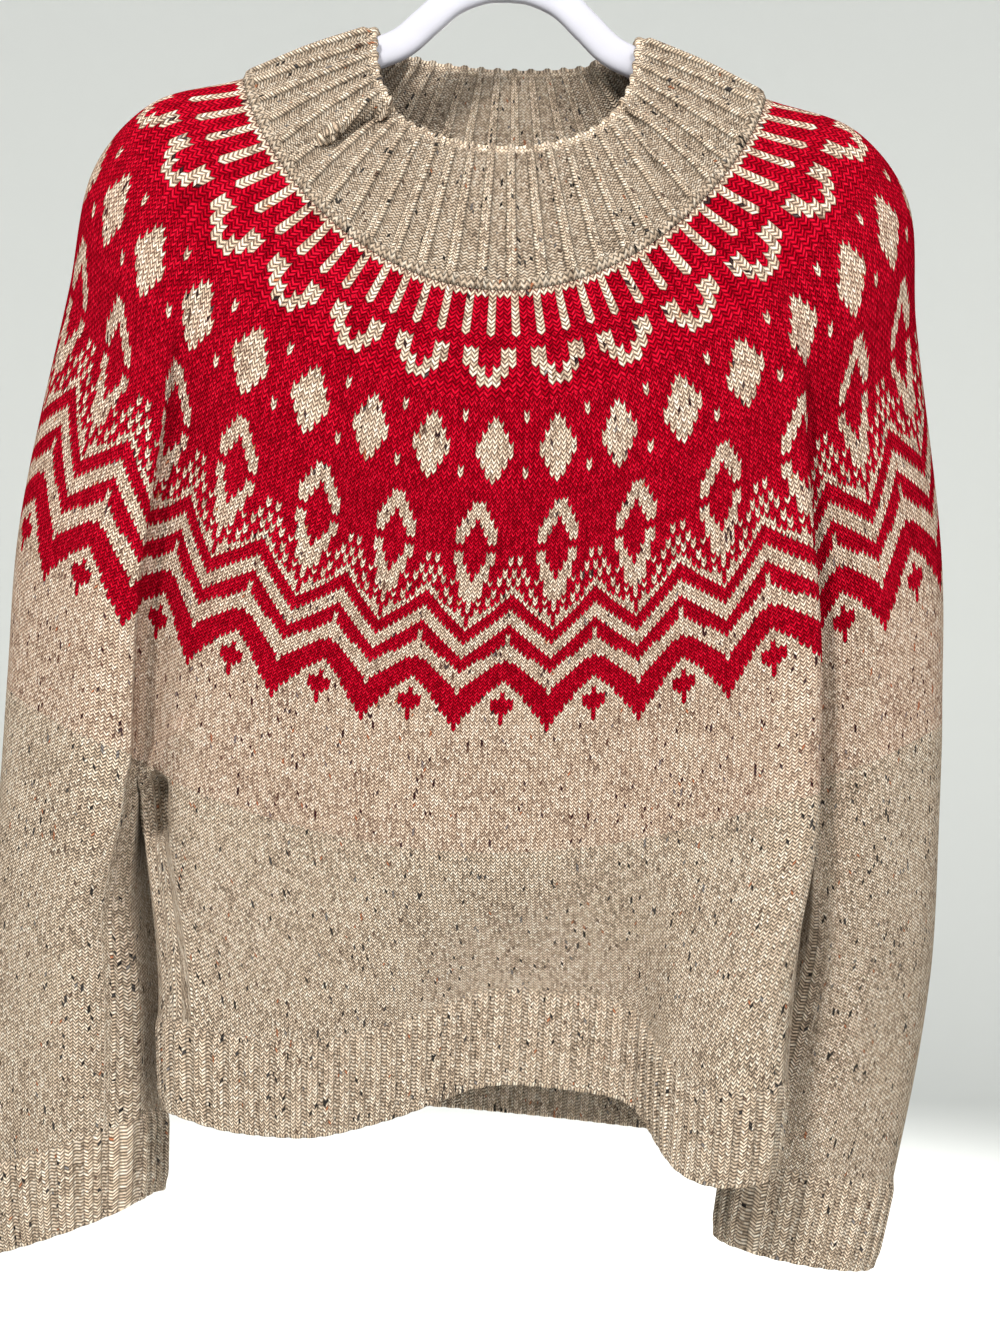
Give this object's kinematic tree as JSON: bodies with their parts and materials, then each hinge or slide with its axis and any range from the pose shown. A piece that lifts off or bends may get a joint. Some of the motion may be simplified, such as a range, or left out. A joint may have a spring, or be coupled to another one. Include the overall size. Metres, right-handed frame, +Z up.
{
  "type": "fair isle jumper on clothes hanger",
  "caption": "Funnel-neck round-yoke knitted jumper with a fair isle yoke pattern, ribbed hem and cuffs, hanging on a moulded plastic clothes hanger.",
  "frame": {"origin": "inside top of the hanger's hook, where a rail carries it", "axes": "+Z up along the hanging jumper, +X across it to the right as seen from the front, -Y out of its front"},
  "size_m": [0.5259, 0.1403, 0.7877],
  "materials": {
    "oatmeal_wool": "flecked oatmeal wool knit, soft and fuzzy",
    "crimson_wool": "crimson and oatmeal stranded wool knit",
    "white_plastic": "smooth moulded, slightly glossy"
  },
  "bodies": {
    "root": {"collar": "oatmeal_wool", "yoke": "crimson_wool", "body": "oatmeal_wool", "hem_rib": "oatmeal_wool", "sleeve_left": "oatmeal_wool", "sleeve_right": "oatmeal_wool", "cuff_left": "oatmeal_wool", "cuff_right": "oatmeal_wool", "hanger": "white_plastic", "hanger_hook": "white_plastic"}
  },
  "joints": []
}
